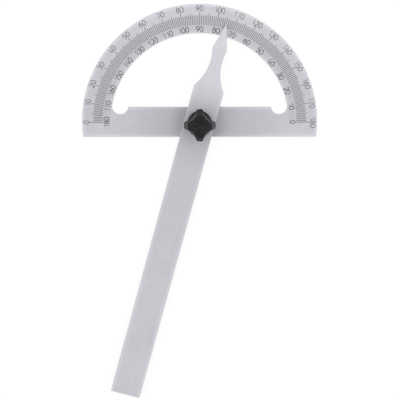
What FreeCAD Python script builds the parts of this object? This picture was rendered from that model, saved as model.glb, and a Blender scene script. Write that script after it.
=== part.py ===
"""Bevel protractor: a half-round protractor plate with a swinging arm, held by a star knob.

Frame: the origin is on the pivot axis at the plate's back face. +X runs along the base edge
towards the 180 mark of the outer scale, +Y points to the 90 mark, +Z leaves the scale face.
All lengths are in millimetres and all angles in degrees.
"""
import FreeCAD, Part
import math
import os

from FreeCAD import Vector

# Protractor plate, seen from the scale face
bow_radius = 60.0  # outer arc of the bow, centred on the pivot
bow_width = 14.6  # ring of the bow, from the window to the outer arc
base_drop = 7.5  # pivot line down to the straight base edge
beam_rise = 7.8  # pivot line up to the window's straight edge
pocket_radius = 4.1  # round relief at both lower corners of the window
pocket_rise = 8.1  # pivot line up to the centre of the relief
plate_thickness = 1.5

# Graduation, engraved in the scale face
scale_span = 180  # degrees
scale_start_radius = 49.5  # inner end of every mark
degree_mark = 4.8  # length of a 1 degree mark
five_mark = 5.8  # length of a 5 degree mark
ten_mark = 6.8  # length of a 10 degree mark
mark_width = 0.22
mark_depth = 0.08

# Swing arm: a flat rail with a spear-headed pointer at its short end
arm_width = 15.6
arm_thickness = 1.5
rail_length = 150.0  # pivot to the square end
pointer_reach = 51.5  # pivot to the pointer's tip
waist_width = 5.8  # narrowest part of the pointer
waist_reach = 32.4  # pivot to the waist
waist_radius = 24.4  # concave flank either side of the waist
spear_reach = 38.6  # pivot to the widest part of the spear head
tip_radius = 0.25
arm_reading = 105.2  # degrees on the outer scale

# Finish of both sheet metal pieces
corner_radius = 0.6  # outer corners, seen in plan
edge_break = 0.15  # chamfer along the edges

# Pivot stud: riveted flush in the plate, plain where the arm turns, threaded M4 above it
stud_head_radius = 4.5
stud_head_height = 0.8
journal_radius = 3.0
clamp_allowance = 0.1  # how far the journal stays below the arm's face
thread_radius = 2.0
thread_length = 8.6
thread_tip_chamfer = 0.4

# Clamp washer
washer_radius = 4.5
washer_thickness = 0.8

# Star knob
lobe_count = 4
knob_radius = 8.05  # axis to the end of a lobe
flute_floor_radius = 5.45  # axis to the deepest point between two lobes
flute_radius = 9.2  # concave arc of a flute
lobe_height = 4.8
lobe_corner_radius = 1.1  # both corners of a lobe's end, seen in plan
crown_bevel = 1.9  # 45 degree bevel around the top of the lobes' ends
crown_edge_radius = 0.7  # rounded edge of the flat top
hub_radius = 6.2
hub_height = 6.4
hub_shoulder = 0.6  # bevel on top of the hub, where it shows between the lobes
hub_chamfer = 0.3
knob_under_chamfer = 0.3

# Threaded bush moulded into the knob
bush_radius = 3.4
bush_length = 8.8
bush_groove_depth = 0.5
bush_groove_height = 1.6
bush_mouth_chamfer = 0.3

# Clearances between pieces, measured on the radius
press_clearance = 0.01
running_clearance = 0.05
washer_clearance = 0.15

# Levels along the pivot axis
arm_floor = plate_thickness
arm_face = arm_floor + arm_thickness
journal_top = arm_face - clamp_allowance
knob_floor = arm_face + washer_thickness
lobe_floor = knob_floor + hub_height
bush_top = knob_floor + bush_length

UP = Vector(0, 0, 1)


def at(radius, degrees, z=0.0):
    """The point at a radius and an angle from +X."""
    turn = math.radians(degrees)
    return Vector(radius * math.cos(turn), radius * math.sin(turn), z)


def line(start, end):
    return Part.LineSegment(start, end).toShape()


def arc(start, middle, end):
    return Part.Arc(start, middle, end).toShape()


def slab(edges, height):
    """A flat piece of the given height on a closed outline in the XY plane."""
    wire = Part.Wire(Part.__sortEdges__(edges))
    return Part.Face(wire).extrude(UP * height)


def cylinder(radius, floor, height):
    return Part.makeCylinder(radius, height, Vector(0, 0, floor))


def upright_edges_near(solid, points):
    """The edges parallel to Z that stand on the given points of the XY plane."""
    found = []
    for edge in solid.Edges:
        foot, head = edge.Vertexes[0].Point, edge.Vertexes[-1].Point
        upright = abs(foot.x - head.x) + abs(foot.y - head.y) < 1e-6
        if upright and any(math.hypot(foot.x - p.x, foot.y - p.y) < 1e-4 for p in points):
            found.append(edge)
    return found


def rim_edges(solid, *levels):
    """The edges that lie flat at one of the given heights."""
    return [e for e in solid.Edges
            if any(abs(v.Z - z) < 1e-6 for z in levels for v in e.Vertexes[:1])
            and abs(e.BoundBox.ZLength) < 1e-6]


def finish_sheet(solid, thickness, corners):
    """Rounds the named corners of a flat piece and breaks its sharp edges."""
    solid = solid.makeFillet(corner_radius, upright_edges_near(solid, corners))
    return solid.makeChamfer(edge_break, rim_edges(solid, 0.0, thickness))


def plate_outline():
    """The bow's outer arc, closed by the straight base edge, and its two corners."""
    half_base = math.sqrt(bow_radius ** 2 - base_drop ** 2)
    left = Vector(-half_base, -base_drop, 0)
    right = Vector(half_base, -base_drop, 0)
    edges = [arc(left, Vector(0, bow_radius, 0), right), line(right, left)]
    return edges, (left, right)


def window_outline():
    """The window: inner arc, a round pocket tangent to it at each end, and the beam's edge."""
    inner_radius = bow_radius - bow_width
    pocket_x = math.sqrt((inner_radius - pocket_radius) ** 2 - pocket_rise ** 2)
    mouth = math.sqrt(pocket_radius ** 2 - (pocket_rise - beam_rise) ** 2)
    tangent = inner_radius / (inner_radius - pocket_radius)
    inner_edge = pocket_x - mouth
    edges = []
    for side in (-1, 1):
        pocket = Vector(side * pocket_x, pocket_rise, 0)
        edges.append(arc(pocket * tangent, pocket - Vector(0, pocket_radius, 0),
                         Vector(side * inner_edge, beam_rise, 0)))
    left = Vector(-pocket_x, pocket_rise, 0) * tangent
    right = Vector(pocket_x, pocket_rise, 0) * tangent
    edges.append(arc(left, Vector(0, inner_radius, 0), right))
    edges.append(line(Vector(-inner_edge, beam_rise, 0), Vector(inner_edge, beam_rise, 0)))
    return edges


def mark_length(degree):
    if degree % 10 == 0:
        return ten_mark
    return five_mark if degree % 5 == 0 else degree_mark


def graduation():
    """One engraving cutter for each degree of the scale, standing in the scale face."""
    cutters = []
    for degree in range(int(scale_span) + 1):
        cutter = Part.makeBox(mark_length(degree), mark_width, 2 * mark_depth,
                              Vector(scale_start_radius, -mark_width / 2,
                                     plate_thickness - mark_depth))
        cutter.rotate(Vector(0, 0, 0), UP, degree)
        cutters.append(cutter)
    return Part.makeCompound(cutters)


def protractor_plate():
    edges, corners = plate_outline()
    blank = slab(edges, plate_thickness).cut(slab(window_outline(), plate_thickness))
    plate = finish_sheet(blank, plate_thickness, corners)
    rivet_seat = cylinder(stud_head_radius + press_clearance, 0.0,
                          stud_head_height + press_clearance)
    stud_hole = cylinder(journal_radius + press_clearance, 0.0, plate_thickness)
    return plate.cut(rivet_seat.fuse(stud_hole)).cut(graduation())


def tip_tangent(shoulder):
    """Where the spear's straight edge from its shoulder meets the rounded tip."""
    centre = Vector(0, pointer_reach - tip_radius, 0)
    away = shoulder - centre
    turn = math.atan2(away.y, away.x) + math.acos(tip_radius / away.Length)
    return centre + at(tip_radius, math.degrees(turn))


def flank(side):
    """One long side of the arm, from the square end to the pointer's tip."""
    half_width = arm_width / 2
    centre_x = waist_width / 2 + waist_radius
    shoulder_drop = math.sqrt(waist_radius ** 2 - (centre_x - half_width) ** 2)
    spear_rise = spear_reach - waist_reach
    spear_half = centre_x - math.sqrt(waist_radius ** 2 - spear_rise ** 2)
    end = Vector(half_width, -rail_length, 0)
    shoulder = Vector(half_width, waist_reach - shoulder_drop, 0)
    waist = Vector(waist_width / 2, waist_reach, 0)
    spear = Vector(spear_half, spear_reach, 0)
    points = [Vector(side * p.x, p.y, 0)
              for p in (end, shoulder, waist, spear, tip_tangent(spear))]
    end, shoulder, waist, spear, tip = points
    return [line(end, shoulder), arc(shoulder, waist, spear), line(spear, tip)], end, tip


def swing_arm():
    left, left_end, left_tip = flank(-1)
    right, right_end, right_tip = flank(1)
    nose = arc(left_tip, Vector(0, pointer_reach, 0), right_tip)
    square_end = line(left_end, right_end)
    blank = slab(left + right + [nose, square_end], arm_thickness)
    arm = finish_sheet(blank, arm_thickness, (left_end, right_end))
    arm = arm.cut(cylinder(journal_radius + running_clearance, 0.0, arm_thickness))
    arm.rotate(Vector(0, 0, 0), UP, 90.0 - arm_reading)
    arm.translate(UP * arm_floor)
    return arm


def pivot_stud():
    head = cylinder(stud_head_radius, 0.0, stud_head_height)
    journal = cylinder(journal_radius, 0.0, journal_top)
    thread = cylinder(thread_radius, journal_top, thread_length)
    tip = rim_edges(thread, journal_top + thread_length)
    thread = thread.makeChamfer(thread_tip_chamfer, tip)
    return head.fuse([journal, thread]).removeSplitter()


def clamp_washer():
    bore = cylinder(thread_radius + washer_clearance, arm_face, washer_thickness)
    return cylinder(washer_radius, arm_face, washer_thickness).cut(bore)


def fluted_disc():
    """The crown's plan: a disc with a flute between every two lobes, and its edges rounded."""
    disc = cylinder(knob_radius, 0.0, lobe_height)
    pitch = 360.0 / lobe_count
    for flute in range(lobe_count):
        axis = at(flute_floor_radius + flute_radius, (flute + 0.5) * pitch)
        disc = disc.cut(Part.makeCylinder(flute_radius, lobe_height, axis))
    uprights = [e for e in disc.Edges if abs(e.BoundBox.ZLength - lobe_height) < 1e-6
                and e.BoundBox.DiagonalLength < lobe_height + 1e-6]
    disc = disc.makeFillet(lobe_corner_radius, uprights)
    disc = disc.makeFillet(crown_edge_radius, rim_edges(disc, lobe_height))
    return disc.makeChamfer(knob_under_chamfer, rim_edges(disc, 0.0))


def bevel_cone():
    """The 45 degree cone that bevels the lobes' ends, with its top rim rounded."""
    top_radius = knob_radius - crown_bevel
    cone = Part.makeCone(top_radius + lobe_height, top_radius, lobe_height)
    return cone.makeFillet(crown_edge_radius, rim_edges(cone, lobe_height))


def threaded_bush(clearance=0.0):
    """The bush, or with a clearance the cavity that it fills in the knob."""
    radius = bush_radius + clearance
    groove_radius = radius - bush_groove_depth
    middle = knob_floor + bush_length / 2
    low = middle - bush_groove_height / 2
    high = middle + bush_groove_height / 2
    top = bush_top + clearance
    profile = [Vector(0, 0, knob_floor), Vector(radius, 0, knob_floor), Vector(radius, 0, low),
               Vector(groove_radius, 0, low), Vector(groove_radius, 0, high),
               Vector(radius, 0, high), Vector(radius, 0, top), Vector(0, 0, top)]
    face = Part.Face(Part.makePolygon(profile + profile[:1]))
    return face.revolve(Vector(0, 0, 0), UP, 360)


def knob_bush():
    bore_radius = thread_radius + running_clearance
    bore = cylinder(bore_radius, knob_floor, bush_length)
    mouth = Part.makeCone(bore_radius + bush_mouth_chamfer, bore_radius, bush_mouth_chamfer,
                          Vector(0, 0, knob_floor))
    return threaded_bush().cut(bore.fuse(mouth))


def star_knob():
    crown = fluted_disc().common(bevel_cone())
    crown.translate(UP * lobe_floor)
    hub = cylinder(hub_radius, knob_floor, hub_height + hub_shoulder)
    hub = hub.makeChamfer(hub_chamfer, rim_edges(hub, knob_floor))
    hub = hub.makeChamfer(hub_shoulder, rim_edges(hub, lobe_floor + hub_shoulder))
    return crown.fuse(hub).cut(threaded_bush(press_clearance))


PIECES = {
    "protractor_plate": protractor_plate,
    "swing_arm": swing_arm,
    "pivot_stud": pivot_stud,
    "clamp_washer": clamp_washer,
    "star_knob": star_knob,
    "knob_bush": knob_bush,
}

os.makedirs("parts", exist_ok=True)
for name, build in PIECES.items():
    shape = build()
    solids = shape.Solids
    shape = solids[0] if len(solids) == 1 else Part.makeCompound(solids)
    shape.exportStep("parts/%s.step" % name)
    print(name, "solids", len(solids), "valid", shape.isValid(), "volume", round(shape.Volume, 2))
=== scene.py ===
"""Bevel protractor: finishes, scale paint, numerals, screw thread and studio round the frame."""

import math

import bpy
from mathutils import Matrix, Vector


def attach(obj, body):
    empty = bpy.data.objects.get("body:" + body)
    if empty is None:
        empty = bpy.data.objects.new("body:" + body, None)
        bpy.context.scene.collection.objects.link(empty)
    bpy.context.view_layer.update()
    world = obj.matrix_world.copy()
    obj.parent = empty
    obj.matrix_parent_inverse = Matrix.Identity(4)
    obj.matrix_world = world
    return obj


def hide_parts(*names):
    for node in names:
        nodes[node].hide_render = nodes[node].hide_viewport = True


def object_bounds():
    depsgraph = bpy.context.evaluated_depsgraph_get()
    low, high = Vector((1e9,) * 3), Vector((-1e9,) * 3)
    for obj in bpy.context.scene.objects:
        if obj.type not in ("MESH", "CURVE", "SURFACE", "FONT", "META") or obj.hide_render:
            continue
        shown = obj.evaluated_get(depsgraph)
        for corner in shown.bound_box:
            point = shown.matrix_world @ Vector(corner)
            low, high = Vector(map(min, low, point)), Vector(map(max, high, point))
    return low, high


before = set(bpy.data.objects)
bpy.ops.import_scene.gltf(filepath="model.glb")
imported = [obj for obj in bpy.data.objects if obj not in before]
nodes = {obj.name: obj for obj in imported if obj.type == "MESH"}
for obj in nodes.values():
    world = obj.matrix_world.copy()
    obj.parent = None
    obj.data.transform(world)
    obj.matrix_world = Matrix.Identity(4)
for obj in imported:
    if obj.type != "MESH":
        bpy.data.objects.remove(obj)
cad_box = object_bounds()

MM = 0.001

# Outline of the plate and the arm, in millimetres
BOW_RADIUS, BOW_WIDTH = 60.0, 14.6
BASE_DROP, BEAM_RISE = 7.5, 7.8
ARM_WIDTH = 15.6
HUB_RADIUS = 6.2
HUB_TOP = 10.25  # just above the knob's hub, where its lobes begin
ARM_TURN = math.radians(-74.8)  # brings the arm's length onto X, with the pointer ahead

# Scale, in millimetres from the pivot and degrees
SCALE_SPAN = 180
MARK_START = 49.5
MARK_LENGTHS = {1: 4.8, 5: 5.8, 10: 6.8}
MARK_WIDTH = 0.22
MARK_FLOOR = 1.42  # bottom of the engraved groove
PAINT_TOP = 1.475  # the paint lies a little below the plate's face
PAINT_DISH = 0.012
UPWARD = 0.9  # least rise of a top face's normal
PAINT_RIM = 0.3  # share of the mark's width that slopes into the dish on each side

# Numerals, in millimetres
FACE_LEVEL = 1.5
NUMERAL_STEP = 10  # degrees
DIGIT_WIDTH, DIGIT_HEIGHT = 1.5, 2.68
DIGIT_STEPS = 5  # straight pieces between two points of a digit's curve
OUTER_ROW = {"foot": 56.5, "pitch": 1.97, "stroke": 0.29}
INNER_ROW = {"foot": 46.1, "pitch": 1.9, "stroke": 0.35}
PAINT_PROUD = 0.006

# Stud, in millimetres
STUD_HEAD_RADIUS, STUD_HEAD_HEIGHT = 4.5, 0.8
JOURNAL_RADIUS, JOURNAL_TOP = 3.0, 2.9
STUD_TOP = 11.5
STUD_END_CHAMFER = 0.3
CYLINDER_SIDES = 64
THREAD_ROOT, THREAD_PITCH = 1.65, 0.7
THREAD_START, THREAD_END = 2.3, 10.9
THREAD_STEPS = 32  # straight pieces in one turn of the ridge
CORE_OVERLAP = 0.02  # how far the stud's core reaches into the ridge

# Skeleton of each digit in a box one unit wide and one unit high. A stroke is smooth or
# straight-sided, open or closed, and runs through its points.
SMOOTH, STRAIGHT = "AUTO", "VECTOR"
DIGIT_STROKES = {
    "0": [
        (SMOOTH, True, [(0.5, 1), (0.97, 0.7), (0.97, 0.3), (0.5, 0), (0.03, 0.3), (0.03, 0.7)]),
    ],
    "1": [(STRAIGHT, False, [(0.28, 0.72), (0.8, 1), (0.8, 0)])],
    "2": [
        (SMOOTH, False, [(0.06, 0.78), (0.48, 1), (0.92, 0.74), (0.68, 0.4), (0.03, 0)]),
        (STRAIGHT, False, [(0.03, 0), (0.97, 0)]),
    ],
    "3": [
        (SMOOTH, False, [(0.06, 0.84), (0.46, 1), (0.9, 0.77), (0.44, 0.54)]),
        (SMOOTH, False, [(0.44, 0.54), (0.96, 0.27), (0.47, 0), (0.02, 0.17)]),
    ],
    "4": [
        (STRAIGHT, False, [(0.5, 1), (0.03, 0.24), (0.98, 0.24)]),
        (STRAIGHT, False, [(0.74, 0.52), (0.74, 0)]),
    ],
    "5": [
        (STRAIGHT, False, [(0.88, 1), (0.17, 1), (0.1, 0.55)]),
        (SMOOTH, False, [(0.1, 0.55), (0.5, 0.64), (0.95, 0.32), (0.48, 0), (0.03, 0.14)]),
    ],
    "6": [
        (SMOOTH, True, [(0.5, 0.62), (0.96, 0.31), (0.5, 0), (0.04, 0.31)]),
        (SMOOTH, False, [(0.72, 1), (0.28, 0.68), (0.04, 0.31)]),
    ],
    "7": [(STRAIGHT, False, [(0.03, 1), (0.95, 1), (0.35, 0)])],
    "8": [
        (SMOOTH, True, [(0.5, 1), (0.88, 0.775), (0.5, 0.55), (0.12, 0.775)]),
        (SMOOTH, True, [(0.5, 0.55), (0.97, 0.275), (0.5, 0), (0.03, 0.275)]),
    ],
    "9": [
        (SMOOTH, True, [(0.5, 1), (0.96, 0.69), (0.5, 0.38), (0.04, 0.69)]),
        (SMOOTH, False, [(0.96, 0.69), (0.72, 0.32), (0.28, 0)]),
    ],
}


# ---------------------------------------------------------------- shader node groups

# A scale is in features per metre, and a reach is how far a pattern moves the tone
CLOUD_SCALE, BRUSH_SCALE, SHEET_GRAIN_SCALE = 70.0, (60.0, 2600.0, 2600.0), 2400.0
SMEAR_SCALE, SMUDGE_SCALE = 500.0, 160.0
SMEAR_REACH, RING_REACH, SPECKLE_REACH = 0.8, 0.25, 3.6
SHEET_ROUGHNESS = (0.62, 0.52)  # where the tone is dark, and where it is light
KNOB_ROUGHNESS = (0.34, 0.46)
MASK_SPOTS = (0.6, 1.3)  # least and most strength of the mask from place to place


def new_group(name, inputs, outputs):
    """An empty shader group with named sockets, and its input and output nodes."""
    group = bpy.data.node_groups.new(name, "ShaderNodeTree")
    for label, kind, value in inputs:
        socket = group.interface.new_socket(label, in_out="INPUT", socket_type=kind)
        if value is not None:
            socket.default_value = value
    for label, kind in outputs:
        group.interface.new_socket(label, in_out="OUTPUT", socket_type=kind)
    return group, group.nodes.new("NodeGroupInput"), group.nodes.new("NodeGroupOutput")


def feed(tree, made, inputs):
    """Links the inputs that are given as sockets and sets the others."""
    for key, value in inputs.items():
        if isinstance(value, bpy.types.NodeSocket):
            tree.links.new(value, made.inputs[key])
        else:
            made.inputs[key].default_value = value


def node(tree, kind, inputs=None, **settings):
    """A node whose settings and inputs are set by name."""
    made = tree.nodes.new(kind)
    for key, value in settings.items():
        setattr(made, key, value)
    feed(tree, made, inputs or {})
    return made


def calc(tree, operation, first, second=0.0, clamp=False):
    return node(tree, "ShaderNodeMath", {0: first, 1: second},
                operation=operation, use_clamp=clamp).outputs[0]


def noise(tree, vector, scale, detail=2.0, roughness=0.5):
    return node(tree, "ShaderNodeTexNoise", {"Vector": vector, "Scale": scale, "Detail": detail,
                                             "Roughness": roughness}).outputs["Fac"]


def swing(tree, value, reach):
    """A noise value turned into a deviation about zero."""
    return calc(tree, "MULTIPLY", calc(tree, "SUBTRACT", value, 0.5), reach)


def spread(tree, value, low, high):
    """A value from 0 to 1 stretched over another range."""
    return node(tree, "ShaderNodeMapRange",
                {"Value": value, "To Min": low, "To Max": high}).outputs["Result"]


def ramp(tree, value, start, end, top=1.0):
    """Rises from nothing at one value to its top at another."""
    return node(tree, "ShaderNodeMapRange", {"Value": value, "From Min": start, "From Max": end,
                                             "To Max": top}).outputs["Result"]


def tint(tree, factor, below, above):
    """One colour laid over another by a factor."""
    return node(tree, "ShaderNodeMix", {"Factor": factor, "A": below, "B": above},
                data_type="RGBA").outputs["Result"]


def make_sheet_grain():
    """Satin chromed sheet: faint clouds, fine lines along X and a grain under both."""
    group, given, result = new_group(
        "sheet_grain",
        [("Vector", "NodeSocketVector", None), ("Dark", "NodeSocketColor", (0.5, 0.5, 0.5, 1)),
         ("Light", "NodeSocketColor", (0.7, 0.7, 0.7, 1)), ("Clouds", "NodeSocketFloat", 1.0),
         ("Lines", "NodeSocketFloat", 0.6), ("Grain", "NodeSocketFloat", 0.5)],
        [("Color", "NodeSocketColor"), ("Roughness", "NodeSocketFloat"),
         ("Height", "NodeSocketFloat")])
    asked = given.outputs
    vector = asked["Vector"]
    brushed = node(group, "ShaderNodeMapping", {"Vector": vector, "Scale": BRUSH_SCALE})
    clouds = swing(group, noise(group, vector, CLOUD_SCALE, detail=3.0, roughness=0.55),
                   asked["Clouds"])
    lines = swing(group, noise(group, brushed.outputs["Vector"], 1.0), asked["Lines"])
    grain = swing(group, noise(group, vector, SHEET_GRAIN_SCALE), asked["Grain"])
    fine = calc(group, "ADD", lines, grain)
    tone = calc(group, "ADD", calc(group, "ADD", clouds, fine), 0.5, clamp=True)
    group.links.new(tint(group, tone, asked["Dark"], asked["Light"]), result.inputs["Color"])
    group.links.new(spread(group, tone, *SHEET_ROUGHNESS), result.inputs["Roughness"])
    group.links.new(fine, result.inputs["Height"])
    return group


# a slant mask: real sheared walls on the sheet, painted highlights and painted shade on the knob
def make_edge_wear():
    """A spotted mask on the faces whose slant lies between two limits, such as broken edges."""
    group, given, result = new_group(
        "slant_mask",
        [("Normal", "NodeSocketVector", None), ("Vector", "NodeSocketVector", None),
         ("Wear", "NodeSocketFloat", 0.5), ("Spot Scale", "NodeSocketFloat", 300.0),
         ("Steepest", "NodeSocketFloat", 0.1), ("Steep", "NodeSocketFloat", 0.45),
         ("Flat", "NodeSocketFloat", 0.8), ("Flattest", "NodeSocketFloat", 0.99)],
        [("Mask", "NodeSocketFloat")])
    asked = given.outputs
    upright = node(group, "ShaderNodeSeparateXYZ", {"Vector": asked["Normal"]}).outputs["Z"]
    slant = calc(group, "ABSOLUTE", upright)
    edge = calc(group, "MULTIPLY", ramp(group, slant, asked["Steepest"], asked["Steep"]),
                ramp(group, slant, asked["Flattest"], asked["Flat"]))
    spots = spread(group, noise(group, asked["Vector"], asked["Spot Scale"]), *MASK_SPOTS)
    masked = calc(group, "MULTIPLY", calc(group, "MULTIPLY", edge, spots), asked["Wear"],
                clamp=True)
    group.links.new(masked, result.inputs["Mask"])
    return group


def make_turned_rings():
    """Fine rings about the pivot axis, as a lathe leaves them."""
    group, given, result = new_group(
        "turned_rings",
        [("Vector", "NodeSocketVector", None), ("Dark", "NodeSocketColor", (0.4, 0.4, 0.4, 1)),
         ("Light", "NodeSocketColor", (0.6, 0.6, 0.6, 1)),
         ("Ring Scale", "NodeSocketFloat", 9000.0)],
        [("Color", "NodeSocketColor"), ("Height", "NodeSocketFloat")])
    asked = given.outputs
    flat = node(group, "ShaderNodeVectorMath", {0: asked["Vector"], 1: (1.0, 1.0, 0.0)},
                operation="MULTIPLY")
    radius = node(group, "ShaderNodeVectorMath", {0: flat.outputs["Vector"]}, operation="LENGTH")
    height = node(group, "ShaderNodeSeparateXYZ", {"Vector": asked["Vector"]}).outputs["Z"]
    along = calc(group, "ADD", radius.outputs["Value"], height)
    wave = calc(group, "SINE", calc(group, "MULTIPLY", along, asked["Ring Scale"]))
    smear = swing(group, noise(group, asked["Vector"], SMEAR_SCALE), SMEAR_REACH)
    tone = calc(group, "ADD", calc(group, "MULTIPLY", wave, RING_REACH),
                calc(group, "ADD", smear, 0.5), clamp=True)
    group.links.new(tint(group, tone, asked["Dark"], asked["Light"]), result.inputs["Color"])
    group.links.new(wave, result.inputs["Height"])
    return group


def make_moulded_grain():
    """Spark-eroded grain of a moulded plastic: a speckle of tone and height."""
    group, given, result = new_group(
        "moulded_grain",
        [("Vector", "NodeSocketVector", None), ("Dark", "NodeSocketColor", (0.02, 0.02, 0.02, 1)),
         ("Light", "NodeSocketColor", (0.04, 0.04, 0.04, 1)),
         ("Scale", "NodeSocketFloat", 2200.0)],
        [("Color", "NodeSocketColor"), ("Roughness", "NodeSocketFloat"),
         ("Height", "NodeSocketFloat")])
    asked = given.outputs
    speckle = noise(group, asked["Vector"], asked["Scale"], detail=3.0, roughness=0.6)
    smudge = noise(group, asked["Vector"], SMUDGE_SCALE)
    tone = calc(group, "ADD", swing(group, speckle, SPECKLE_REACH), smudge, clamp=True)
    group.links.new(tint(group, tone, asked["Dark"], asked["Light"]), result.inputs["Color"])
    group.links.new(spread(group, smudge, *KNOB_ROUGHNESS), result.inputs["Roughness"])
    group.links.new(speckle, result.inputs["Height"])
    return group


# ---------------------------------------------------------------- materials

STEEL_PALE_BORDER = (0.718, 0.722, 0.75, 1.0)
# paint film on the scale, and painted shade round the clamp
STEEL_FILMED_AND_SHADED = (0.42, 0.424, 0.447, 1.0)
SHEARED_EDGE = (0.52, 0.523, 0.54, 1.0)
CLOUDS, LINES = 1.2, 0.9
PALE_BORDER = (1.9, 0.3)  # where the paler border begins and where it is full, in mm from the edge
PALE_BORDER_STRENGTH = 0.75
SHEARED_WALLS = {"Wear": 0.9, "Spot Scale": 260.0, "Steepest": -1.0, "Steep": -0.5}
SHEARED_ROUGHNESS = 0.75

# Films and painted shade on the steel: strengths from 0 to 1, lengths in millimetres
FILM_ON_BOW, FILM_ON_SCALE, FILM_AMONG_MARKS = 0.12, 0.2, 0.133  # each adds to the one before
BOW_BLUR = 0.4
SCALE_BLUR_OUTSIDE, SCALE_BLUR_INSIDE = 0.3, 0.1
# painted shade round the clamp, where the knob's shadow falls on the beam and the arm
SHADE_START = HUB_RADIUS + 3.0  # from the pivot
PLATE_SHADE = ((46.0, 0.62), (15.0, 0.35))  # reach from the pivot, and strength
ARM_SHADE = ((85.0, 0.33), (24.0, 0.25))
SHADE_FADES = (20.0, -5.0)  # along the arm, where the painted shade is gone and where it is whole
PATCH_SCALE = 350.0
PATCHES = (0.75, 1.25)

TURNED_STEEL = {"dark": (0.42, 0.42, 0.43, 1.0), "light": (0.6, 0.6, 0.62, 1.0),
                "roughness": 0.35}
PLATED_STEEL = {"dark": (0.55, 0.55, 0.56, 1.0), "light": (0.72, 0.72, 0.74, 1.0),
                "roughness": 0.28}
TURNED_BRASS = {"dark": (0.55, 0.38, 0.14, 1.0), "light": (0.78, 0.58, 0.26, 1.0),
                "roughness": 0.32}

KNOB_BODY = {"Dark": (0.001, 0.001, 0.0018, 1.0), "Light": (0.017, 0.017, 0.0185, 1.0),
             "Scale": 1100.0}
# mask for the painted highlight on the rims of the flutes
KNOB_RIM = {"Wear": 0.75, "Spot Scale": 700.0, "Steepest": 0.73, "Steep": 0.8,
            "Flat": 0.97, "Flattest": 0.998}
# mask for the painted shade on the knob's walls
KNOB_WALLS = {"Wear": 1.0, "Spot Scale": 700.0, "Steepest": -1.0, "Steep": -0.5,
              "Flat": 0.1, "Flattest": 0.5}
# colour of the painted highlight on the flute rims
RIM_HIGHLIGHT = (0.24, 0.24, 0.25, 1.0)
# colour of the painted highlight on the bevels of the lobes on X
LOBE_HIGHLIGHT = (0.042, 0.042, 0.046, 1.0)
# colour of the painted shade on the walls and under the lobes
SHADED_WALL = (0.0015, 0.0015, 0.002, 1.0)
DULL_ROUGHNESS = 0.95
FLUTE_GAIN = 5.0
LOBE_SIDEWAYS, LOBE_UPWARD = (0.45, 0.65), (0.4, 0.6)  # the normal's share that way

PAINT_THICK, PAINT_THIN = (0.02, 0.02, 0.021, 1.0), (0.085, 0.085, 0.088, 1.0)
PAINT_CLOUD_SCALE = 900.0

# Strength of a bump and its height in metres
SHEET_BUMP, TURNED_BUMP, KNOB_BUMP = (0.12, 0.00002), (0.15, 0.00002), (0.35, 0.00004)


def new_material(name, **constants):
    """A material with its Principled shader; constants go on the shader's own sockets."""
    material = bpy.data.materials.new(name)
    material.use_nodes = True
    shader = material.node_tree.nodes["Principled BSDF"]
    for label, value in constants.items():
        shader.inputs[label.replace("_", " ")].default_value = value
    return material, material.node_tree, shader


def place(tree, group, inputs):
    made = tree.nodes.new("ShaderNodeGroup")
    made.node_tree = group
    feed(tree, made, inputs)
    return made


def object_coordinates(tree, turn=0.0):
    """Object coordinates, turned about the pivot axis so that X runs along a piece."""
    coordinates = tree.nodes.new("ShaderNodeTexCoord")
    mapping = node(tree, "ShaderNodeMapping",
                   {"Vector": coordinates.outputs["Object"], "Rotation": (0.0, 0.0, turn)})
    return coordinates, mapping.outputs["Vector"]


def bump(tree, shader, height, strength, distance):
    made = node(tree, "ShaderNodeBump",
                {"Height": height, "Strength": strength, "Distance": distance})
    tree.links.new(made.outputs["Normal"], shader.inputs["Normal"])


def in_millimetres(tree, vector):
    """X and Y of a point and its distance from the pivot axis, in millimetres."""
    scaled = node(tree, "ShaderNodeVectorMath", {0: vector, "Scale": 1.0 / MM}, operation="SCALE")
    parts = node(tree, "ShaderNodeSeparateXYZ", {"Vector": scaled.outputs["Vector"]}).outputs
    square = calc(tree, "ADD", calc(tree, "MULTIPLY", parts["X"], parts["X"]),
                  calc(tree, "MULTIPLY", parts["Y"], parts["Y"]))
    return parts["X"], parts["Y"], calc(tree, "SQRT", square)


def least(tree, values):
    smallest = values[0]
    for value in values[1:]:
        smallest = calc(tree, "MINIMUM", smallest, value)
    return smallest


def arm_border(tree, vector):
    """How far a point of the arm lies inside its long edges."""
    _, across, _ = in_millimetres(tree, vector)
    return calc(tree, "SUBTRACT", ARM_WIDTH / 2, calc(tree, "ABSOLUTE", across))


def plate_border(tree, vector):
    """How far a point of the plate lies inside the outline of its bow and beam."""
    along, up, radius = in_millimetres(tree, vector)
    over_base = calc(tree, "ADD", up, BASE_DROP)
    bow = least(tree, (calc(tree, "SUBTRACT", BOW_RADIUS, radius),
                       calc(tree, "SUBTRACT", radius, BOW_RADIUS - BOW_WIDTH), over_base))
    beam = least(tree, (over_base, calc(tree, "SUBTRACT", BEAM_RISE, up),
                        calc(tree, "SUBTRACT", BOW_RADIUS, calc(tree, "ABSOLUTE", along))))
    return calc(tree, "MAXIMUM", bow, beam)


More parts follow.
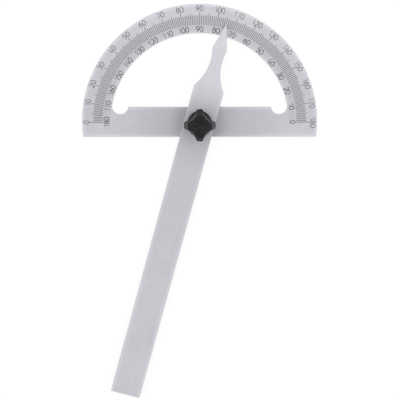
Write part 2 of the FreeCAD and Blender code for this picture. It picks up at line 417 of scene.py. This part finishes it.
def scale_film(tree, vector):
    """The grey film that rubbed-in paint leaves on the bow, thickest among the marks."""
    _, up, radius = in_millimetres(tree, vector)
    bow_inside, scale_end = BOW_RADIUS - BOW_WIDTH, MARK_START + MARK_LENGTHS[1]
    among_marks = ramp(tree, radius, MARK_START - SCALE_BLUR_OUTSIDE,
                       MARK_START + SCALE_BLUR_INSIDE, FILM_AMONG_MARKS)
    on_scale = calc(tree, "MULTIPLY", calc(tree, "ADD", among_marks, FILM_ON_SCALE),
                    ramp(tree, radius, scale_end + SCALE_BLUR_OUTSIDE,
                         scale_end - SCALE_BLUR_INSIDE))
    darkening = calc(tree, "MULTIPLY", calc(tree, "ADD", on_scale, FILM_ON_BOW),
                ramp(tree, radius, bow_inside - BOW_BLUR, bow_inside + BOW_BLUR))
    return calc(tree, "MULTIPLY", darkening, calc(tree, "GREATER_THAN", up, -BOW_BLUR))


def clamp_oil(tree, radius, spreads):
    """Painted shade round the clamp: two darkenings, a wide one and a close one."""
    wide, close = [ramp(tree, radius, reach, SHADE_START, strength) for reach, strength in spreads]
    return calc(tree, "ADD", wide, close)


def plate_film(tree, vector):
    """The scale's film, and painted shade that darkens the beam beside the clamp."""
    _, _, radius = in_millimetres(tree, vector)
    return calc(tree, "MAXIMUM", scale_film(tree, vector), clamp_oil(tree, radius, PLATE_SHADE))


def arm_film(tree, vector):
    """Painted shade round the clamp, spread along the rail and gone before the pointer."""
    along, _, radius = in_millimetres(tree, vector)
    return calc(tree, "MULTIPLY", clamp_oil(tree, radius, ARM_SHADE),
                ramp(tree, along, *SHADE_FADES))


def patchy(tree, vector, darkening):
    patches = spread(tree, noise(tree, vector, PATCH_SCALE), *PATCHES)
    return calc(tree, "MULTIPLY", darkening, patches, clamp=True)


SATIN_PLATE = {"name": "satin_plate", "dark": (0.514, 0.518, 0.548, 1.0),
               "light": (0.634, 0.64, 0.67, 1.0), "turn": 0.0, "speckle": 1.2,
               "border": plate_border, "darkening": plate_film}
SATIN_ARM = {"name": "satin_arm", "dark": (0.553, 0.557, 0.588, 1.0),
             "light": (0.682, 0.688, 0.72, 1.0), "turn": ARM_TURN, "speckle": 0.55,
             "border": arm_border, "darkening": arm_film}


def satin_sheet(grain, slant_group, name, dark, light, turn, speckle, border, darkening):
    """Chromed sheet with lines along the piece, a paler border, films, painted shade and duller
    walls.
    """
    material, tree, shader = new_material(name, Metallic=1.0)
    coordinates, vector = object_coordinates(tree, turn)
    sheet = place(tree, grain, {"Vector": vector, "Dark": dark, "Light": light,
                                "Clouds": CLOUDS, "Lines": LINES, "Grain": speckle})
    # a paler band along the edges
    pale_border = ramp(tree, border(tree, vector), *PALE_BORDER, PALE_BORDER_STRENGTH)
    face = tint(tree, pale_border, sheet.outputs["Color"], STEEL_PALE_BORDER)
    # the scale's paint film, and painted shade round the clamp
    face = tint(tree, patchy(tree, vector, darkening(tree, vector)), face, STEEL_FILMED_AND_SHADED)
    walls = place(tree, slant_group, {"Normal": coordinates.outputs["Normal"], "Vector": vector,
                               **SHEARED_WALLS}).outputs["Mask"]
    rough = node(tree, "ShaderNodeMix", {"Factor": walls, "A": sheet.outputs["Roughness"],
                                         "B": SHEARED_ROUGHNESS})
    tree.links.new(tint(tree, walls, face, SHEARED_EDGE), shader.inputs["Base Color"])
    tree.links.new(rough.outputs["Result"], shader.inputs["Roughness"])
    bump(tree, shader, sheet.outputs["Height"], *SHEET_BUMP)
    return material


def turned_metal(rings, name, dark, light, roughness):
    material, tree, shader = new_material(name, Metallic=1.0, Roughness=roughness)
    _, vector = object_coordinates(tree)
    turned = place(tree, rings, {"Vector": vector, "Dark": dark, "Light": light})
    tree.links.new(turned.outputs["Color"], shader.inputs["Base Color"])
    bump(tree, shader, turned.outputs["Height"], *TURNED_BUMP)
    return material


def knob_plastic(grain, slant_group):
    """Black moulded plastic: dull, with painted shade on its walls and under its lobes, and
    painted highlights on its flute rims and on the bevels of the lobes on X.
    """
    material, tree, shader = new_material("black_moulded_plastic", Specular_IOR_Level=0.25)
    coordinates, vector = object_coordinates(tree)
    normal = coordinates.outputs["Normal"]
    body = place(tree, grain, {"Vector": vector, **KNOB_BODY})
    rim = place(tree, slant_group, {"Normal": normal, "Vector": vector, **KNOB_RIM})
    walls = place(tree, slant_group, {"Normal": normal, "Vector": vector, **KNOB_WALLS})
    facing = node(tree, "ShaderNodeSeparateXYZ", {"Vector": normal}).outputs
    # painted highlight on the rims of the flutes, whose normals lean between the X and Y axes
    flute = calc(tree, "ABSOLUTE", calc(tree, "MULTIPLY", facing["X"], facing["Y"]))
    flute_highlight = calc(tree, "MULTIPLY", rim.outputs["Mask"],
                  calc(tree, "MULTIPLY", flute, FLUTE_GAIN, clamp=True))
    # painted highlight on the bevels of the two lobes on the X axis
    lobe_highlight = calc(tree, "MULTIPLY",
                   ramp(tree, calc(tree, "ABSOLUTE", facing["X"]), *LOBE_SIDEWAYS),
                   ramp(tree, facing["Z"], *LOBE_UPWARD))
    # painted shade: the walls and the hub under the lobes are darkened as well as dulled
    height = node(tree, "ShaderNodeSeparateXYZ", {"Vector": vector}).outputs["Z"]
    under_lobes = calc(tree, "LESS_THAN", height, HUB_TOP * MM)
    dull_and_shaded = calc(tree, "MAXIMUM", walls.outputs["Mask"], under_lobes)
    rough = node(tree, "ShaderNodeMix", {"Factor": dull_and_shaded, "A": body.outputs["Roughness"],
                                         "B": DULL_ROUGHNESS})
    colour = tint(tree, flute_highlight, body.outputs["Color"], RIM_HIGHLIGHT)
    colour = tint(tree, lobe_highlight, colour, LOBE_HIGHLIGHT)
    colour = tint(tree, dull_and_shaded, colour, SHADED_WALL)
    tree.links.new(colour, shader.inputs["Base Color"])
    tree.links.new(rough.outputs["Result"], shader.inputs["Roughness"])
    bump(tree, shader, body.outputs["Height"], *KNOB_BUMP)
    return material


def scale_paint():
    """Dark enamel rubbed into the engraving, thin in places."""
    material, tree, shader = new_material("engraving_paint", Roughness=0.6,
                                          Specular_IOR_Level=0.25)
    _, vector = object_coordinates(tree)
    thin = tint(tree, noise(tree, vector, PAINT_CLOUD_SCALE), PAINT_THICK, PAINT_THIN)
    tree.links.new(thin, shader.inputs["Base Color"])
    return material


def dress(piece, material):
    piece.data.materials.clear()
    piece.data.materials.append(material)


# ---------------------------------------------------------------- modelling

def deselect():
    bpy.ops.object.select_all(action="DESELECT")


def select_only(piece):
    deselect()
    piece.select_set(True)
    bpy.context.view_layer.objects.active = piece


def settle(piece):
    """Puts a piece's place into its mesh, so that its object sits at the origin."""
    select_only(piece)
    bpy.ops.object.transform_apply(location=True, rotation=True, scale=True)


def curve_to_mesh(curve):
    """A curve's mesh, as an object at the origin."""
    model = bpy.data.objects.new(curve.name, curve)
    bpy.context.scene.collection.objects.link(model)
    select_only(model)
    bpy.ops.object.convert(target="MESH")
    return bpy.context.active_object


def copy_at(model, matrix):
    made = bpy.data.objects.new(model.name, model.data.copy())
    made.data.transform(matrix)
    bpy.context.scene.collection.objects.link(made)
    return made


def join_all(copies, name):
    deselect()
    for part in copies:
        part.select_set(True)
    bpy.context.view_layer.objects.active = copies[0]
    bpy.ops.object.join()
    piece = bpy.context.view_layer.objects.active
    piece.name = name
    piece.data.name = name
    return piece


def remove(models):
    for model in models:
        bpy.data.objects.remove(model)


def solid_cylinder(radius, floor, top, name):
    deselect()
    bpy.ops.mesh.primitive_cylinder_add(vertices=CYLINDER_SIDES, radius=radius * MM,
                                        depth=(top - floor) * MM,
                                        location=(0.0, 0.0, (floor + top) / 2 * MM))
    piece = bpy.context.active_object
    piece.name = name
    settle(piece)
    return piece


def break_ends(piece, width):
    """A chamfer round both ends of a cylinder."""
    select_only(piece)
    bevel = piece.modifiers.new("broken_edge", "BEVEL")
    bevel.width = width * MM
    bevel.segments = 1
    bevel.limit_method = "ANGLE"
    bpy.ops.object.modifier_apply(modifier=bevel.name)


def thread_ridge():
    """One ridge that climbs the stud as a helix, a pitch for each turn."""
    curve = bpy.data.curves.new("thread_ridge", "CURVE")
    curve.dimensions = "3D"
    curve.twist_mode = "Z_UP"
    curve.bevel_depth = THREAD_PITCH / 2
    curve.bevel_resolution = 0
    curve.use_fill_caps = True
    spline = curve.splines.new("POLY")
    turns = (THREAD_END - THREAD_START) / THREAD_PITCH
    spline.points.add(int(turns * THREAD_STEPS))
    for step, point in enumerate(spline.points):
        turn = step / THREAD_STEPS
        angle = 2 * math.pi * turn
        point.co = (THREAD_ROOT * math.cos(angle), THREAD_ROOT * math.sin(angle),
                    THREAD_START + THREAD_PITCH * turn, 1.0)
    model = curve_to_mesh(curve)
    model.data.transform(Matrix.Scale(MM, 4))
    return model


def make_threaded_stud():
    """The stud as the frame has it, with a screw thread."""
    head = solid_cylinder(STUD_HEAD_RADIUS, 0.0, STUD_HEAD_HEIGHT, "stud_head")
    journal = solid_cylinder(JOURNAL_RADIUS, STUD_HEAD_HEIGHT, JOURNAL_TOP, "journal")
    core = solid_cylinder(THREAD_ROOT + CORE_OVERLAP, THREAD_START, STUD_TOP, "thread_core")
    break_ends(core, STUD_END_CHAMFER)
    return join_all([head, journal, core, thread_ridge()], "threaded_stud")


def mark_model(length):
    """Paint in one engraved mark: a strip whose top is dished along its middle."""
    deselect()
    bpy.ops.mesh.primitive_cube_add(size=1.0)
    strip = bpy.context.active_object
    depth = PAINT_TOP - MARK_FLOOR
    strip.scale = (length * MM, MARK_WIDTH * MM, depth * MM)
    strip.location = ((MARK_START + length / 2) * MM, 0.0, (MARK_FLOOR + depth / 2) * MM)
    settle(strip)
    bpy.ops.object.mode_set(mode="EDIT")
    bpy.ops.mesh.select_all(action="DESELECT")
    bpy.ops.mesh.select_mode(type="FACE")
    bpy.ops.object.mode_set(mode="OBJECT")
    for face in strip.data.polygons:
        face.select = face.normal.z > UPWARD
    bpy.ops.object.mode_set(mode="EDIT")
    bpy.ops.mesh.inset(thickness=MARK_WIDTH * MM * PAINT_RIM)
    bpy.ops.transform.translate(value=(0.0, 0.0, -PAINT_DISH * MM))
    bpy.ops.object.mode_set(mode="OBJECT")
    return strip


def make_marks():
    models = {step: mark_model(length) for step, length in MARK_LENGTHS.items()}
    copies = []
    for degree in range(SCALE_SPAN + 1):
        step = max(step for step in MARK_LENGTHS if degree % step == 0)
        copies.append(copy_at(models[step], Matrix.Rotation(math.radians(degree), 4, "Z")))
    remove(models.values())
    return join_all(copies, "scale_marks")


def digit_model(digit, stroke):
    """One digit: round strokes along its skeleton, pressed flat."""
    curve = bpy.data.curves.new("digit_" + digit, "CURVE")
    curve.dimensions = "3D"
    curve.resolution_u = DIGIT_STEPS
    curve.bevel_depth = stroke / 2
    curve.bevel_resolution = 1
    curve.use_fill_caps = True
    for handle, closed, points in DIGIT_STROKES[digit]:
        spline = curve.splines.new("BEZIER")
        spline.bezier_points.add(len(points) - 1)
        spline.use_cyclic_u = closed
        for bezier, (across, up) in zip(spline.bezier_points, points):
            bezier.co = ((across - 0.5) * DIGIT_WIDTH, up * DIGIT_HEIGHT, 0.0)
            bezier.handle_left_type = bezier.handle_right_type = handle
    model = curve_to_mesh(curve)
    flat = 2 * PAINT_PROUD / stroke
    model.data.transform(Matrix.Diagonal((MM, MM, flat * MM, 1.0)))
    return model


def numeral_copies(models, value, angle, row):
    """The digits of one number, upright on the radius at an angle, tops outward."""
    digits = str(value)
    radius = row["foot"] * MM
    outward = Vector((math.cos(angle), math.sin(angle), 0.0))
    along = Vector((math.sin(angle), -math.cos(angle), 0.0))
    turned = Matrix((along, outward, Vector((0.0, 0.0, 1.0)))).transposed().to_4x4()
    copies = []
    for place_in_word, digit in enumerate(digits):
        shift = (place_in_word - (len(digits) - 1) / 2) * row["pitch"] * MM
        matrix = turned.copy()
        matrix.translation = outward * radius + along * shift + Vector((0.0, 0.0, FACE_LEVEL * MM))
        copies.append(copy_at(models[digit], matrix))
    return copies


def make_numerals(row, name, falling):
    models = {digit: digit_model(digit, row["stroke"]) for digit in DIGIT_STROKES}
    copies = []
    for value in range(0, SCALE_SPAN + 1, NUMERAL_STEP):
        angle = math.radians(SCALE_SPAN - value if falling else value)
        copies += numeral_copies(models, value, angle, row)
    remove(models.values())
    return join_all(copies, name)


# ---------------------------------------------------------------- the object

sheet_grain = make_sheet_grain()
slant_mask = make_edge_wear()
turned_rings = make_turned_rings()

dress(nodes["protractor_plate"], satin_sheet(sheet_grain, slant_mask, **SATIN_PLATE))
dress(nodes["swing_arm"], satin_sheet(sheet_grain, slant_mask, **SATIN_ARM))
dress(nodes["clamp_washer"], turned_metal(turned_rings, "plated_washer", **PLATED_STEEL))
dress(nodes["knob_bush"], turned_metal(turned_rings, "turned_brass", **TURNED_BRASS))
dress(nodes["star_knob"], knob_plastic(make_moulded_grain(), slant_mask))

stud = make_threaded_stud()
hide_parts("pivot_stud")
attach(stud, "plate")
dress(stud, turned_metal(turned_rings, "turned_stud", **TURNED_STEEL))

paint = scale_paint()
for piece in (make_marks(), make_numerals(OUTER_ROW, "outer_numerals", True),
              make_numerals(INNER_ROW, "inner_numerals", False)):
    dress(piece, paint)
    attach(piece, "plate")


# ---------------------------------------------------------------- studio

WHITE = (1.0, 1.0, 1.0, 1.0)
FLOOR_SIZE, FLOOR_GAP = 6.0, 0.00002  # metres
FLOOR_COLOUR, FLOOR_GLOW = (0.9, 0.9, 0.9, 1.0), 0.85
TENT_FOOT, TENT_TOP = 0.88, 0.38  # strength at the horizon and overhead
TENT_COLOUR = (0.985, 0.985, 1.0, 1.0)

# Place and aim in metres, width and height in metres, power in watts
SOFTBOXES = {
    "left_softbox": ((-0.5, 0.0, 0.34), (0.0, 0.0, 0.0), (0.9, 0.6), 2.35),
    "right_softbox": ((0.5, 0.0, 0.34), (0.0, 0.0, 0.0), (0.9, 0.6), 2.3),
    "pointer_softbox": ((0.03, 0.25, 0.28), (0.01, 0.04, 0.0), (0.6, 0.45), 0.85),
    "arm_end_softbox": ((-0.04, -0.5, 0.3), (-0.03, -0.12, 0.0), (0.4, 0.3), 0.37),
}

CAMERA_PLACE = (-0.00536, 0.11555, 0.77729)
CAMERA_TILT = (-11.37, -0.41, 0.0)  # degrees
CAMERA_LENS, CAMERA_SENSOR = 138.17, 36.0  # millimetres
CAMERA_NEAR, CAMERA_FAR = 0.01, 20.0


def make_floor():
    """A white floor that shows as white and keeps a soft shadow under the tool."""
    deselect()
    bpy.ops.mesh.primitive_plane_add(size=FLOOR_SIZE,
                                     location=(0.0, 0.0, cad_box[0][2] - FLOOR_GAP))
    floor = bpy.context.active_object
    floor.name = "floor"
    material, tree, shader = new_material("white_floor", Base_Color=FLOOR_COLOUR, Roughness=0.9,
                                          Specular_IOR_Level=0.0)
    path = tree.nodes.new("ShaderNodeLightPath").outputs
    looked_at = calc(tree, "ADD", path["Is Camera Ray"], path["Is Glossy Ray"])
    seen = calc(tree, "ADD", looked_at, path["Is Transmission Ray"], clamp=True)
    glow = node(tree, "ShaderNodeEmission", {"Color": WHITE, "Strength": 1.0})
    mixed = node(tree, "ShaderNodeMixShader", {"Fac": calc(tree, "MULTIPLY", seen, FLOOR_GLOW)})
    tree.links.new(shader.outputs["BSDF"], mixed.inputs[1])
    tree.links.new(glow.outputs["Emission"], mixed.inputs[2])
    tree.links.new(mixed.outputs["Shader"], tree.nodes["Material Output"].inputs["Surface"])
    dress(floor, material)


def make_world():
    """A light tent, brightest at its foot, that shows as white behind the tool."""
    world = bpy.data.worlds.new("light_tent")
    bpy.context.scene.world = world
    world.use_nodes = True
    tree = world.node_tree
    tent = tree.nodes["Background"]
    direction = tree.nodes.new("ShaderNodeTexCoord").outputs["Generated"]
    rise = node(tree, "ShaderNodeSeparateXYZ", {"Vector": direction}).outputs["Z"]
    tree.links.new(spread(tree, rise, TENT_FOOT, TENT_TOP), tent.inputs["Strength"])
    tent.inputs["Color"].default_value = TENT_COLOUR
    white = node(tree, "ShaderNodeBackground", {"Color": WHITE, "Strength": 1.0})
    mixed = node(tree, "ShaderNodeMixShader",
                 {"Fac": tree.nodes.new("ShaderNodeLightPath").outputs["Is Camera Ray"]})
    tree.links.new(tent.outputs["Background"], mixed.inputs[1])
    tree.links.new(white.outputs["Background"], mixed.inputs[2])
    tree.links.new(mixed.outputs["Shader"], tree.nodes["World Output"].inputs["Surface"])


def make_softbox(name, location, aim, size, power):
    """A rectangular softbox aimed at a point of the tool."""
    light = bpy.data.lights.new(name, "AREA")
    light.shape = "RECTANGLE"
    light.size, light.size_y = size
    light.energy = power
    lamp = bpy.data.objects.new(name, light)
    lamp.location = location
    lamp.visible_camera = False
    lamp.rotation_euler = (Vector(location) - Vector(aim)).to_track_quat("Z", "Y").to_euler()
    bpy.context.scene.collection.objects.link(lamp)


def make_camera():
    """Nearly overhead, from the bow's side of the pivot."""
    data = bpy.data.cameras.new("camera")
    data.sensor_width = CAMERA_SENSOR
    data.lens = CAMERA_LENS
    data.clip_start, data.clip_end = CAMERA_NEAR, CAMERA_FAR
    camera = bpy.data.objects.new("camera", data)
    camera.location = CAMERA_PLACE
    camera.rotation_euler = [math.radians(degrees) for degrees in CAMERA_TILT]
    bpy.context.scene.collection.objects.link(camera)
    bpy.context.scene.camera = camera


make_floor()
make_world()
for name, box in SOFTBOXES.items():
    make_softbox(name, *box)
make_camera()
bpy.context.scene.view_settings.view_transform = "Standard"
